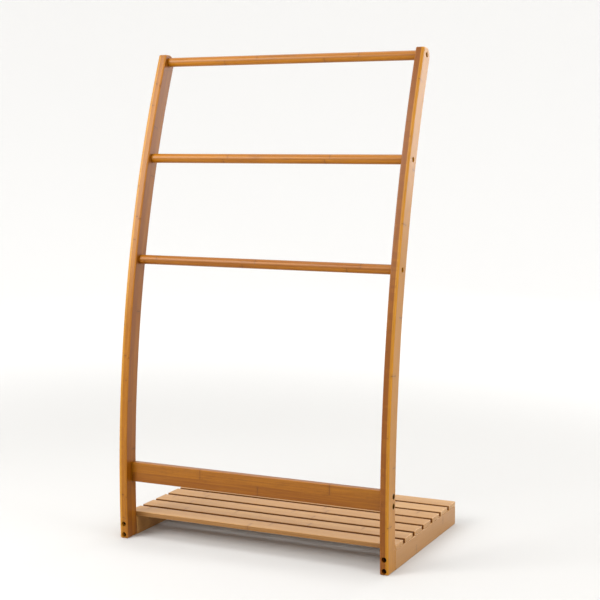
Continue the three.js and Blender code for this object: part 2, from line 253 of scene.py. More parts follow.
def joined(surfaces):
    """Several surfaces as one."""
    points, faces, start = [], [], 0
    for some_points, some_faces in surfaces:
        points.append(some_points)
        faces.extend(group + start for group in facing_out(some_points, some_faces))
        start += len(some_points)
    return np.concatenate(points), faces


def around(radii, heights, axis, place, segments):
    """Rings about a line parallel to an axis, with the given radii at the given heights along it.

    A point of a ring is place + radius (cos t, sin t) across the axis, for equal steps of the angle t. radii
    and heights may be one number for each ring, or a table with one for each ring and angle.
    """
    angle = np.arange(segments) * (2 * math.pi / segments)
    radii = np.asarray(radii, float)
    radius = radii if radii.ndim == 2 else np.repeat(radii[:, None], segments, 1)
    heights = np.asarray(heights, float)
    height = heights if heights.ndim == 2 else np.repeat(heights[:, None], segments, 1)
    rings = np.empty(radius.shape + (3,))
    u, v = ((Y, Z), (Z, X), (X, Y))[axis]
    rings[..., axis] = height
    rings[..., u] = place[u] + radius * np.cos(angle)
    rings[..., v] = place[v] + radius * np.sin(angle)
    return rings


def arc_run(centre, radius, start, end, steps, outward=1):
    """Points of an arc and their outward normals; outward is -1 where the solid lies outside the circle."""
    angle = np.linspace(start, end, steps + 1)
    way = np.stack([np.cos(angle), np.sin(angle)], -1)
    return np.asarray(centre) + radius * way, outward * way


def line_run(start, end, fractions, normal):
    """Points of a straight run at the given fractions of its length, with one normal."""
    share = np.asarray(fractions)[:, None]
    points = np.asarray(start) * (1 - share) + np.asarray(end) * share
    return points, np.tile(np.asarray(normal, float), (len(points), 1))


def chained(runs):
    """Runs laid end to end, each later one without its first point."""
    points = np.concatenate([runs[0][0]] + [run[0][1:] for run in runs[1:]])
    normals = np.concatenate([runs[0][1]] + [run[1][1:] for run in runs[1:]])
    return points, normals


def with_hold(count, hold):
    """Fractions from 0 to 1 in equal steps, with one more close to either end so that flats shade flat."""
    inner = np.linspace(0, 1, count + 1)[1:-1]
    return np.concatenate([[0, hold], inner, [1 - hold, 1]])


def edge_profile(thickness, edge, steps, flat_steps=3):
    """How far an outline draws in, and where it is across the thickness.

    Both edges are quarter circles: inset = edge (1 - sin a) at the depth edge (1 - cos a), a from 0 to 90
    degrees, with a flat between them.
    """
    angle = np.linspace(0, math.pi / 2, steps + 1)
    inset = edge * (1 - np.sin(angle))
    depth = edge * (1 - np.cos(angle))
    flat = edge + (thickness - 2 * edge) * with_hold(flat_steps, 0.03)[1:-1]
    return (
        np.concatenate([inset, np.zeros(len(flat)), inset[::-1]]),
        np.concatenate([depth, flat, thickness - depth[::-1]]),
    )


def board_surface(rails, columns, profile, lay):
    """A board with rounded edges.

    Its outline lies between two rails of equally many points, each with outward normals, and a straight
    rung at either end. A point of the side faces is (1 - c) rail_1 + c rail_2 for the columns c. Through
    the thickness the outline draws in along its normals, by the profile's inset at the profile's depth. lay
    names the axes that the outline's first and second coordinate and the thickness run along.
    """
    (first, first_normals), (second, second_normals) = rails
    rungs, wide = len(first), len(columns)
    insets, depths = profile
    share = columns[None, :, None]
    flat = first[:, None] * (1 - share) + second[:, None] * share
    normal = first_normals[:, None] * (1 - share) + second_normals[:, None] * share
    numbers = np.arange(rungs * wide).reshape(rungs, wide)
    rim = np.concatenate([numbers[:, 0], numbers[-1, 1:-1], numbers[::-1, -1], numbers[0, -2:0:-1]])
    flat, normal = flat.reshape(-1, 2), normal.reshape(-1, 2)

    def layer(which, inset, depth):
        drawn = flat[which] - inset * normal[which]
        placed = np.empty((len(drawn), 3))
        placed[:, lay[0]], placed[:, lay[1]], placed[:, lay[2]] = drawn[:, 0], drawn[:, 1], depth
        return placed

    every = numbers.ravel()
    parts = [layer(every, insets[0], depths[0]), layer(every, insets[-1], depths[-1])]
    parts += [layer(rim, inset, depth) for inset, depth in zip(insets[1:-1], depths[1:-1])]
    between = np.arange((len(insets) - 2) * len(rim)).reshape(-1, len(rim)) + 2 * len(every)
    rings = np.concatenate([rim[None], between, rim[None] + len(every)])
    sides = [sheet_quads(numbers), sheet_quads(numbers + len(every))[:, ::-1]]
    return np.concatenate(parts), [np.concatenate([ring_quads(rings)[:, ::-1]] + sides)]


def straight_rails(low, high, corner, steps, spans):
    """The two long sides of a rectangle with round corners, from its low to its high corner."""
    quarter = math.pi / 2
    fractions = with_hold(spans, 0.002)

    def side(across, sign):
        inner = across + sign * corner
        start = arc_run((low[0] + corner, inner), corner, math.pi, math.pi + sign * quarter, steps)
        line = line_run((low[0] + corner, across), (high[0] - corner, across), fractions, (0, -sign))
        end = arc_run((high[0] - corner, inner), corner, -sign * quarter, 0, steps)
        return chained([start, line, end])

    return side(low[1], 1), side(high[1], -1)


def straight_board(low, high, edge, lay, spans):
    """A straight board with round edges in its box. lay names the axes along, across and through it."""
    along, across, through = lay
    rails = straight_rails(
        (low[along], low[across]), (high[along], high[across]), edge + 0.1 * MM, 5, spans)
    insets, depths = edge_profile(high[through] - low[through], edge, 5)
    return board_surface(rails, with_hold(4, 0.01), (insets, low[through] + depths), lay)


# ---------------------------------------------------------------- finishing a piece

def drill(piece, cutters):
    """Cuts closed cutter surfaces out of a piece."""
    tool = new_piece("cutter", new_mesh("cutter", *joined(cutters)))
    cut = piece.modifiers.new("holes", "BOOLEAN")
    cut.operation, cut.solver, cut.object = "DIFFERENCE", "EXACT", tool
    bpy.context.view_layer.update()
    seen = piece.evaluated_get(bpy.context.evaluated_depsgraph_get())
    drilled = bpy.data.meshes.new_from_object(seen)
    piece.modifiers.clear()
    plain, piece.data = piece.data, drilled
    bpy.data.meshes.remove(plain)
    tool_mesh = tool.data
    bpy.data.objects.remove(tool)
    bpy.data.meshes.remove(tool_mesh)
    if len(drilled.polygons) == 0:
        raise RuntimeError(f"{piece.name} was lost when its holes were cut")


def smooth(mesh):
    mesh.polygons.foreach_set("use_smooth", np.ones(len(mesh.polygons), bool))
    mesh.set_sharp_from_angle(angle=SMOOTH_ANGLE)


def vertex_table(mesh):
    points = np.empty(len(mesh.vertices) * 3, np.float32)
    mesh.vertices.foreach_get("co", points)
    return points.reshape(-1, 3).astype(float)


def mark_grain(mesh, grain_of, board, tone, edge):
    """Stores how the wood runs: grain (across the layers, across the strips, along the fibres), in metres.

    grain_of turns points into that. end_grain is 1 on faces that cut across the fibres, and the other face
    attribute is edge on the faces that look across the strips: painted shade, how much of the fibres' dark
    colour they take on for the shade in the gaps between the slats. board is a number of the piece's own,
    from 0 to 1, that keeps its pattern unlike its neighbours', and tone is how much paler than its kind the
    piece is, or deeper where it is negative.
    """
    points = vertex_table(mesh)
    grain = mesh.attributes.new("grain", "FLOAT_VECTOR", "POINT")
    grain.data.foreach_set("vector", grain_of(points).astype(np.float32).ravel())
    for name, value in (("board", board), ("tone", tone)):
        own = mesh.attributes.new(name, "FLOAT", "POINT")
        own.data.foreach_set("value", np.full(len(points), value, np.float32))
    centres, normals = np.empty(len(mesh.polygons) * 3), np.empty(len(mesh.polygons) * 3)
    mesh.polygons.foreach_get("center", centres)
    mesh.polygons.foreach_get("normal", normals)
    centres, normals = centres.reshape(-1, 3), normals.reshape(-1, 3)
    # the normal's share along each of the three is how fast it grows on the way out of the face
    step = 0.1 * MM
    rise = np.abs(grain_of(centres + step * normals) - grain_of(centres)) / step
    # the first face attribute is painted shade on the slats' narrow faces, for the gaps between them
    for name, column, value in (("edge_grain", 1, edge), ("end_grain", 2, 1.0)):
        facing = mesh.attributes.new(name, "FLOAT", "FACE")
        facing.data.foreach_set("value", np.where(rise[:, column] > FACING, value, 0.0).astype(np.float32))


def straight_grain(low, *axes):
    """How straight wood runs: distances from its low corner along its layers', strips' and fibres' axes."""
    return lambda points: (points - low)[:, axes]


def finish_piece(piece, material, node):
    """Puts the material on, hangs the piece under the body's empty and hides the CAD node that it stands for.
    """
    smooth(piece.data)
    piece.data.materials.clear()
    piece.data.materials.append(material)
    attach(piece, BODY)
    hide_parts(node)
    return piece


def wood_piece(node, surface, cutters, grain_of, material, board, tone=0.0, edge=0.0):
    """One wooden piece, from its surface to its finish."""
    piece = new_piece(f"{node}_bamboo", new_mesh(f"{node}_bamboo", *surface))
    if cutters:
        drill(piece, cutters)
    mark_grain(piece.data, grain_of, board, tone, edge)
    return finish_piece(piece, material, node)


# ---------------------------------------------------------------- materials

def add_node(tree, kind, inputs=None, **settings):
    """Adds a node with its settings.

    inputs holds values, sockets to link, or nodes that stand for their first output, by name or number.
    """
    node = tree.nodes.new(kind)
    for name, value in settings.items():
        setattr(node, name, value)
    for key, value in (inputs or {}).items():
        if isinstance(value, bpy.types.Node):
            value = value.outputs[0]
        if isinstance(value, bpy.types.NodeSocket):
            tree.links.new(value, node.inputs[key])
        else:
            node.inputs[key].default_value = value
    return node


def new_material(name):
    material = bpy.data.materials.new(name)
    material.use_nodes = True
    material.node_tree.nodes.clear()
    return material, material.node_tree


def rgba(colour):
    return (*colour, 1.0)


def laminated_bamboo(name, layer, strip, tones, outer_tones=None, knots=0.24, mottling=0.0):
    """Laminated bamboo: split culms planed to strips, glued side by side, sanded and satin lacquered.

    To the eye that is long parallel strips, each of one tone, with fine darker fibre bundles along them, a
    brown line with a soft halo where each strip had a knot, and points instead of lines on cut ends. layer
    and strip are the strips' thickness and width, knots the distance between the knots of one strip,
    outer_tones the pair of tones of the outermost layer where that layer is of paler bamboo, and mottling how
    brown the blotches of carbonised bamboo are.
    """
    material, tree = new_material(name)
    add = partial(add_node, tree)
    fibre = rgba(bpy.context.scene.towel_rack.finish.fibre)
    grain = add("ShaderNodeAttribute", attribute_name="grain").outputs["Vector"]
    through, across, along = add("ShaderNodeSeparateXYZ", {0: grain}).outputs
    # the last of these is painted shade on the slats' narrow faces, for the gaps between them
    board, own_tone, ends, painted_gap_shade = (
        add("ShaderNodeAttribute", attribute_name=attribute).outputs["Fac"]
        for attribute in ("board", "tone", "end_grain", "edge_grain"))

    # Patterns, by their width across the fibres and length along them in millimetres: broad drifts, streaks
    # drawn coarse so that they show, the carbonising's brown mottle, fine dashes, and the knots' bend
    noise = {}
    for pattern, wide, long, detail in (
            ("drift", 14, 260, 1.0), ("streak", 1.9, 90, 3.0), ("mottle", 8, 30, 3.0), ("dash", 0.7, 16, 1.0),
            ("bend", 5, 400, 1.0)):
        scaled = add("ShaderNodeVectorMath", {0: grain, 1: (1000 / wide, 1000 / wide, 1000 / long)},
                     operation="MULTIPLY")
        noise[pattern] = add(
            "ShaderNodeTexNoise",
            {"Vector": scaled, "W": board, "Scale": 1.0, "Detail": detail, "Roughness": 0.55},
            noise_dimensions="4D")

    # Strips: whole numbers of layers and strips name one strip, and a random number goes with the name
    uncut = 10.0  # metres, longer than any piece, so that a strip keeps its name along its length
    counted = add("ShaderNodeVectorMath", {0: grain, 1: (layer, strip, uncut)}, operation="DIVIDE")
    cell = add("ShaderNodeVectorMath", {0: counted}, operation="FLOOR")
    random = add("ShaderNodeTexWhiteNoise", {"Vector": cell, "W": board}, noise_dimensions="4D")
    tone = own_tone
    for source, weight in ((noise["drift"], 0.45), (noise["streak"], 0.85), (random, 0.42)):
        tone = add("ShaderNodeMath", {0: source, 1: weight, 2: tone}, operation="MULTIPLY_ADD")

    # Knots: the distance along the strip to its nearest knot, bent a little across the strip
    placed = add("ShaderNodeMath", {0: random, 1: knots, 2: along}, operation="MULTIPLY_ADD")
    centred = add("ShaderNodeMath", {0: placed, 1: knots / 2}, operation="ADD")
    to_knot = add("ShaderNodeMath", {0: centred, 1: knots / 2}, operation="PINGPONG")
    bend = add("ShaderNodeMath", {0: noise["bend"], 1: 0.5}, operation="SUBTRACT")
    bent = add("ShaderNodeMath", {0: bend, 1: 2.4 * MM, 2: to_knot}, operation="MULTIPLY_ADD")

    # Joints: the distance to the nearest edge of a layer or strip. Pores: bundles 1.3 mm apart on cut ends.
    to_edges = [
        add("ShaderNodeMath", {0: place, 1: size / 2}, operation="PINGPONG")
        for place, size in ((through, layer), (across, strip))]
    to_joint = add("ShaderNodeMath", {0: to_edges[0], 1: to_edges[1]}, operation="MINIMUM")
    pores = add("ShaderNodeTexVoronoi", {"Vector": grain, "Scale": 1000 / 1.3})

    # Ramps: what each follows, from where to where, and its values at both
    ramp = {}
    for step, source, low, high, start, end in (
            ("shade", tone, 0.50, 1.30, 0.0, 1.0),
            ("dash", noise["dash"], 0.60, 0.74, 0.0, 1.0),
            ("mottle", noise["mottle"], 0.52, 0.78, 0.0, 1.0),
            ("knot_halo", bent, 0.0, 7.0 * MM, 1.0, 0.0),
            ("knot_line", bent, 0.2 * MM, 1.3 * MM, 1.0, 0.0),
            ("glue", to_joint, 0.1 * MM, 0.35 * MM, 1.0, 0.0),
            ("pores", pores, 0.25, 0.5, 0.55, 0.15),
            ("roughness", noise["streak"], 0.2, 0.8, 0.28, 0.40)):
        ramp[step] = add(
            "ShaderNodeMapRange",
            {"Value": source, "From Min": low, "From Max": high, "To Min": start, "To Max": end},
            interpolation_type="SMOOTHSTEP")

    # Colour: the strips' tones, and the fibres' dark colour over them by the weights of dashes, mottle,
    # knots and glue. Cut ends drink more lacquer and turn darker. The narrow faces take painted shade: the
    # fibres' dark colour by their face attribute, for the shade in the gaps between the slats.
    fills = [
        add("ShaderNodeMix", {0: ramp["shade"], 6: rgba(deep), 7: rgba(pale)}, data_type="RGBA").outputs[2]
        for deep, pale in filter(None, (tones, outer_tones))]
    colour = fills[0]
    if outer_tones:
        layer_number = add("ShaderNodeSeparateXYZ", {0: cell})
        outermost = add("ShaderNodeMath", {0: layer_number, 1: 0.5}, operation="LESS_THAN")
        colour = add("ShaderNodeMix", {0: outermost, 6: colour, 7: fills[1]}, data_type="RGBA").outputs[2]
    coverings = []
    for weights in (
            {"dash": 0.22, "mottle": mottling}, {"knot_halo": 0.16, "knot_line": 0.5}, {"glue": 0.28}):
        amount = 0.0
        for step, weight in weights.items():
            amount = add("ShaderNodeMath", {0: ramp[step], 1: weight, 2: amount}, operation="MULTIPLY_ADD")
        coverings.append(amount)
    # the last amount is painted shade: the fibres' dark colour on the slats' narrow faces, for the gaps
    # between them
    for amount in (*coverings, painted_gap_shade):
        colour = add("ShaderNodeMix", {0: amount, 6: colour, 7: fibre}, data_type="RGBA").outputs[2]
    cut = add("ShaderNodeMix", {0: ramp["pores"], 6: colour, 7: fibre}, data_type="RGBA").outputs[2]
    colour = add("ShaderNodeMix", {0: ends, 6: colour, 7: cut}, data_type="RGBA").outputs[2]

    sunk = add("ShaderNodeMath", {0: ramp["glue"], 1: -0.5}, operation="MULTIPLY")
    height = add("ShaderNodeMath", {0: noise["streak"], 1: 0.6, 2: sunk}, operation="MULTIPLY_ADD")
    bump = add("ShaderNodeBump", {"Strength": 0.35, "Distance": 0.08 * MM, "Height": height})
    shader = add("ShaderNodeBsdfPrincipled", {
        "Base Color": colour,
        "Roughness": ramp["roughness"],
        "IOR": 1.5,
        "Specular IOR Level": 0.35,
        "Specular Tint": (1.0, 0.94, 0.84, 1.0),
        "Normal": bump,
    })
    add("ShaderNodeOutputMaterial", {"Surface": shader})
    return material


def black_oxide_steel(name):
    """Black oxide steel: cold-headed screws, blackened in a hot salt bath and oiled.

    That leaves a near-black, half-matt metal, a little uneven, with soft highlights on its edges.
    """
    material, tree = new_material(name)
    place = add_node(tree, "ShaderNodeTexCoord").outputs["Object"]
    mottle = add_node(tree, "ShaderNodeTexNoise", {"Vector": place, "Scale": 1 / (0.9 * MM), "Detail": 3.0})
    rough = add_node(tree, "ShaderNodeMapRange", {
        "Value": mottle.outputs["Fac"], "From Min": 0.3, "From Max": 0.7, "To Min": 0.34, "To Max": 0.52})
    steel = bpy.context.scene.towel_rack.finish.steel
    brown = add_node(tree, "ShaderNodeMix", {"Factor": mottle.outputs["Fac"]}, data_type="RGBA")
    brown.inputs[6].default_value = rgba(steel)
    brown.inputs[7].default_value = rgba([1.7 * c for c in steel])
    shader = add_node(tree, "ShaderNodeBsdfPrincipled", {
        "Base Color": brown.outputs[2], "Metallic": 1.0, "Roughness": rough.outputs[0]})
    add_node(tree, "ShaderNodeOutputMaterial", {"Surface": shader})
    return material


def turned_beech(name):
    """Beech: dowels turned and fluted and left bare.

    That leaves pale pinkish wood with short darker flecks and no gloss.
    """
    material, tree = new_material(name)
    place = add_node(tree, "ShaderNodeTexCoord").outputs["Object"]
    long = add_node(tree, "ShaderNodeMapping", {"Vector": place, "Scale": (1800.0, 1800.0, 300.0)})
    flecks = add_node(tree, "ShaderNodeTexNoise", {"Vector": long.outputs[0], "Scale": 1.0, "Detail": 2.0})
    wood = add_node(tree, "ShaderNodeMix", {"Factor": flecks.outputs["Fac"]}, data_type="RGBA")
    wood.inputs[6].default_value = rgba(linear(0xC59C6C))
    wood.inputs[7].default_value = rgba(linear(0xE0C49B))
    shader = add_node(tree, "ShaderNodeBsdfPrincipled", {"Base Color": wood.outputs[2], "Roughness": 0.72})
    add_node(tree, "ShaderNodeOutputMaterial", {"Surface": shader})
    return material


def backlit_vinyl(name):
    """Matt white vinyl: calendered sheet, laid as a floor, drawn up into a wall and lit from behind.

    That leaves an even white without gloss. The light comes through it only away from the middle, where the
    rack and its shadows are.
    """
    material, tree = new_material(name)
    place = add_node(tree, "ShaderNodeTexCoord").outputs["Object"]
    from_middle = add_node(tree, "ShaderNodeVectorMath", {0: place}, operation="LENGTH").outputs["Value"]
    glow_start, glow_full, strength = 0.8, 2.8, 0.38
    glow = add_node(
        tree, "ShaderNodeMapRange",
        {"Value": from_middle, "From Min": glow_start, "From Max": glow_full, "To Max": strength},
        interpolation_type="SMOOTHSTEP")
    roller = add_node(tree, "ShaderNodeTexNoise", {"Vector": place, "Scale": 160.0, "Detail": 2.0})
    bump = add_node(tree, "ShaderNodeBump", {
        "Strength": 0.1, "Distance": 0.2 * MM, "Height": roller.outputs["Fac"]})
    shader = add_node(tree, "ShaderNodeBsdfPrincipled", {
        "Base Color": rgba(bpy.context.scene.towel_rack.finish.floor), "Roughness": 0.85,
        "Specular IOR Level": 0.2, "Emission Color": (1.0, 1.0, 1.0, 1.0),
        "Emission Strength": glow.outputs["Result"], "Normal": bump.outputs[0]})
    add_node(tree, "ShaderNodeOutputMaterial", {"Surface": shader})
    return material


# ---------------------------------------------------------------- uprights

class Bow:
    """The arcs of the uprights' faces. They share one centre, and the front one touches the box's front."""

    def __init__(self, sizes):
        low, high = node_box("upright_left")
        self.front = sizes.bow_radius
        self.rear = sizes.bow_radius - sizes.depth
        self.middle = (self.front + self.rear) / 2
        self.y, self.z = low[Y] + self.front, sizes.plumb_level
        self.floor, self.top = low[Z], high[Z]

    def at(self, radius, z):
        """y of the arc of that radius, at the level z."""
        return self.y - np.sqrt(radius**2 - (z - self.z) ** 2)

    def corner(self, radius, rounding, level, is_rear):
        """The round corner between a face's arc and the level top or foot.

        Its centre is one rounding inside both. Returns the centre and its angle about the bow's centre.
        """
        z = level - rounding if level > self.z else level + rounding
        reach = radius + rounding if is_rear else radius - rounding
        y = self.at(reach, z)
        return (y, z), math.atan2(z - self.z, y - self.y) % (2 * math.pi)

    def rail(self, is_rear, top_rounding, foot_rounding, steps, spans):
        """A face's outline from the foot to the top, round both of its corners."""
        radius = self.rear if is_rear else self.front
        foot, foot_turn = self.corner(radius, foot_rounding, self.floor, is_rear)
        top, top_turn = self.corner(radius, top_rounding, self.top, is_rear)
        # the rear face's outward normal points at the bow's centre
        if is_rear:
            start = arc_run(foot, foot_rounding, -math.pi / 2, foot_turn - math.pi, steps)
            face = arc_run((self.y, self.z), radius, foot_turn, top_turn, spans, -1)
            end = arc_run(top, top_rounding, top_turn - math.pi, math.pi / 2, steps)
        else:
            start = arc_run(foot, foot_rounding, 3 * math.pi / 2, foot_turn, steps)
            face = arc_run((self.y, self.z), radius, foot_turn, top_turn, spans)
            end = arc_run(top, top_rounding, top_turn, math.pi / 2, steps)
        return chained([start, face, end])


def bore(axis, mouth, seat, far, place, sizes):
    """A stepped cutter: counterbore from beyond the mouth to the seat, then the shank's hole to the far end.

    mouth, seat and far are levels on the axis, and the counterbore's mouth is flared a little.
    """
    way = 1 if far > mouth else -1
    wide, narrow, flare = sizes.counterbore / 2, sizes.hole / 2, sizes.mouth_round
    beyond = 2 * MM  # how far the cutter starts outside the face, still flaring
    radii = [wide + flare + beyond, wide + flare, wide, wide, narrow, narrow]
    levels = [mouth - way * beyond, mouth, mouth + way * flare, seat, seat, far]
    return turned_surface(around(radii, levels, axis, place, 48))


def pilot(axis, start, end, diameter, place):
    """A plain round cutter."""
    return turned_surface(around([diameter / 2] * 2, [start, end], axis, place, 32))


def upright_cutters(side, sizes):
    """The holes of one upright: five through its sides and two through its foot."""
    sign = SIDES[side]
    low, high = node_box(f"upright_{side}")
    outer, inner = (high[X], low[X]) if sign > 0 else (low[X], high[X])
    cutters = []
    for screw in SIDE_SCREWS:
        place = np.mean(node_box(f"{screw}_screw_{side}"), axis=0)
        seat = outer - sign * sizes.side_seat
        cutters.append(bore(X, outer, seat, inner - sign * OVERRUN, place, sizes))
    bow = Bow(bpy.context.scene.towel_rack.upright)
    for screw in FOOT_SCREWS:
        place = np.mean(node_box(f"{screw}_screw_{side}"), axis=0)
        face, far = bow.at(bow.front, place[Z]), bow.at(bow.rear, place[Z]) + OVERRUN
        cutters.append(bore(Y, face, face + sizes.foot_seat, far, place, sizes))
    return cutters


class TOWELRACK_OT_uprights(Operator):
    """Build the two bowed uprights with their counterbored screw holes"""
    bl_idname = "towelrack.uprights"
    bl_label = "Uprights"

    def execute(self, context):
        settings = context.scene.towel_rack
        sizes, bow = settings.upright, Bow(settings.upright)
        finish = settings.finish
        material = laminated_bamboo(
            "carbonised_bamboo_upright", 5 * MM, 16 * MM, (finish.caramel_deep, finish.caramel),
            (finish.honey_deep, finish.honey), mottling=0.22)
        foot = sizes.edge_round + 0.1 * MM
        rails = (
            bow.rail(True, sizes.top_rear_round, foot, 8, 140),
            bow.rail(False, sizes.top_front_round, foot, 8, 140),
        )
        for index, (side, sign) in enumerate(SIDES.items()):
            low, high = node_box(f"upright_{side}")
            outer = high[X] if sign > 0 else low[X]
            insets, depths = edge_profile(high[X] - low[X], sizes.edge_round, 6)
            surface = board_surface(rails, with_hold(8, 0.01), (insets, outer - sign * depths), (Y, Z, X))
            lead = 0.1  # a turn that keeps the length along the arc positive down to the foot

            def grain_of(points):
                """Layers from the outer face inward, strips from the front back, length along the arc."""
                across, up = bow.y - points[:, Y], points[:, Z] - bow.z
                along = bow.middle * (np.arctan2(up, across) + lead)
                return np.stack([sign * (outer - points[:, X]), bow.front - np.hypot(across, up), along], -1)

            node = f"upright_{side}"
            # the right upright's deeper tone is painted shade, for its being less lit than the left
            wood_piece(node, surface, upright_cutters(side, settings.fastener), grain_of, material,
                       board=0.13 + 0.37 * index, tone=TONES[node])
        return {"FINISHED"}


# ---------------------------------------------------------------- bars and crossbar

class TOWELRACK_OT_bars(Operator):
    """Build the three round bars with the pilot holes in their ends"""
    bl_idname = "towelrack.bars"
    bl_label = "Round bars"

    def execute(self, context):
        settings = context.scene.towel_rack
        finish = settings.finish
        material = laminated_bamboo(
            "carbonised_bamboo_bar", 8 * MM, 8 * MM, (finish.caramel_deep, finish.caramel),
            knots=0.19, mottling=0.25)
        edge, hole = settings.board.bar_edge, settings.fastener.hole / 2
        turn = np.linspace(0, math.pi / 2, 5)
        hold = 3 * MM  # from a bar's end to its first ring of the plain stretch
        for index, bar in enumerate(BARS):
            low, high = node_box(f"bar_{bar}")
            place, radius = (low + high) / 2, (high[Z] - low[Z]) / 2
            tip = node_box(f"bar_{bar}_screw_right")[0][X] - 1 * MM
            # one half of the outline, from the pilot hole's bottom out over the rim and in to the hold
            radii = np.concatenate([
                [hole, hole, hole + edge / 2], radius - edge * (1 - np.sin(turn)), [radius]])
            levels = np.concatenate([
                [tip, high[X] - edge / 2, high[X]], high[X] - edge * (1 - np.cos(turn)), [high[X] - hold]])
            middle = np.linspace(1, -1, 42)[1:-1] * (high[X] - hold)
            rings = around(
                np.concatenate([radii, np.full(len(middle), radius), radii[::-1]]),
                np.concatenate([levels, middle, -levels[::-1]]), X, place, 64)

            wood_piece(f"bar_{bar}", turned_surface(rings), [], straight_grain(low, Z, Y, X), material,
                       board=0.21 + 0.23 * index)
        return {"FINISHED"}


class TOWELRACK_OT_crossbar(Operator):
    """Build the flat crossbar with the pilot holes in its ends"""
    bl_idname = "towelrack.crossbar"
    bl_label = "Crossbar"

    def execute(self, context):
        settings = context.scene.towel_rack
        finish, edge = settings.finish, settings.board.crossbar_edge
        material = laminated_bamboo(
            "carbonised_bamboo_crossbar", 6 * MM, 17 * MM, (finish.caramel_deep, finish.caramel),
            mottling=0.3)
        low, high = node_box("crossbar")
        surface = straight_board(low, high, edge, (X, Z, Y), 20)
        cutters = []
        for screw in ("crossbar_upper", "crossbar_lower"):
            for side, sign in SIDES.items():
                box = node_box(f"{screw}_screw_{side}")
                tip = box[0][X] if sign > 0 else box[1][X]
                cutters.append(pilot(X, sign * (high[X] + OVERRUN), tip - sign * MM, settings.fastener.hole,
                                     np.mean(box, axis=0)))
        wood_piece("crossbar", surface, cutters, straight_grain(low, Y, Z, X), material,
                   board=0.62, tone=TONES["crossbar"])
        return {"FINISHED"}


# ---------------------------------------------------------------- shelf

def dowel_cutters(piece_name, sizes):
    """Blind holes for the dowels that reach into a slat or a runner."""
    cutters = []
    low, high = node_box(piece_name)
    is_slat = piece_name.startswith("slat")
    spare = 0.3 * MM  # room beyond the dowel's end
    for slat in SLATS:
        for side in SIDES:
            box = node_box(f"{slat}_dowel_{side}")
            place = np.mean(box, axis=0)
            if np.all(place[:2] > low[:2]) and np.all(place[:2] < high[:2]):
                start = low[Z] - OVERRUN if is_slat else box[0][Z] - spare
                end = box[1][Z] + spare if is_slat else high[Z] + OVERRUN
                cutters.append(pilot(Z, start, end, sizes.dowel_hole, place))
    return cutters


class TOWELRACK_OT_runners(Operator):
    """Build the two runners under the shelf, hollowed at the front end to fit the uprights"""
    bl_idname = "towelrack.runners"
    bl_label = "Runners"

    def execute(self, context):
        settings = context.scene.towel_rack
        finish, edge, bow = settings.finish, settings.board.runner_edge, Bow(settings.upright)
        material = laminated_bamboo(
            "natural_bamboo_runner", 7.5 * MM, 16.5 * MM, (finish.sand_deep, finish.sand))
        for index, side in enumerate(SIDES):
            low, high = node_box(f"runner_{side}")
            points, faces = straight_board(low, high, edge, (Y, Z, X), 16)
            # the front end follows the upright's rear face: lengths are stretched between it and the back
            start = bow.at(bow.rear, points[:, Z]) + settings.board.joint_gap
            points[:, Y] = start + (points[:, Y] - low[Y]) * (high[Y] - start) / (high[Y] - low[Y])
            cutters = dowel_cutters(f"runner_{side}", settings.fastener)
            for screw in FOOT_SCREWS:
                box = node_box(f"{screw}_screw_{side}")
                cutters.append(pilot(Y, low[Y] - OVERRUN, box[1][Y] + MM, settings.fastener.hole,
                                     np.mean(box, axis=0)))
            wood_piece(f"runner_{side}", (points, faces), cutters, straight_grain(low, X, Z, Y), material,
                       board=0.31 + 0.4 * index, tone=TONES["runner"])
        return {"FINISHED"}


class TOWELRACK_OT_slats(Operator):
    """Build the slats of the shelf"""
    bl_idname = "towelrack.slats"
    bl_label = "Slats"

    def execute(self, context):
        settings = context.scene.towel_rack
        finish, edge = settings.finish, settings.board.slat_edge
        material = laminated_bamboo(
            "natural_bamboo_slat", 8 * MM, 17.5 * MM, (finish.sand_deep, finish.sand))
        for index, slat in enumerate(SLATS):
            low, high = node_box(slat)
            surface = straight_board(low, high, edge, (X, Y, Z), 20)
            # the narrow faces take painted shade for the gaps between the slats, the front slat's less
            wood_piece(slat, surface, dowel_cutters(slat, settings.fastener), straight_grain(low, Z, Y, X),
                       material, board=(0.17 + 0.618 * index) % 1, tone=TONES["slat"],
                       edge=SLAT_GAP_SHADE if index else FRONT_SLAT_GAP_SHADE)
        return {"FINISHED"}


# ---------------------------------------------------------------- screws and dowels

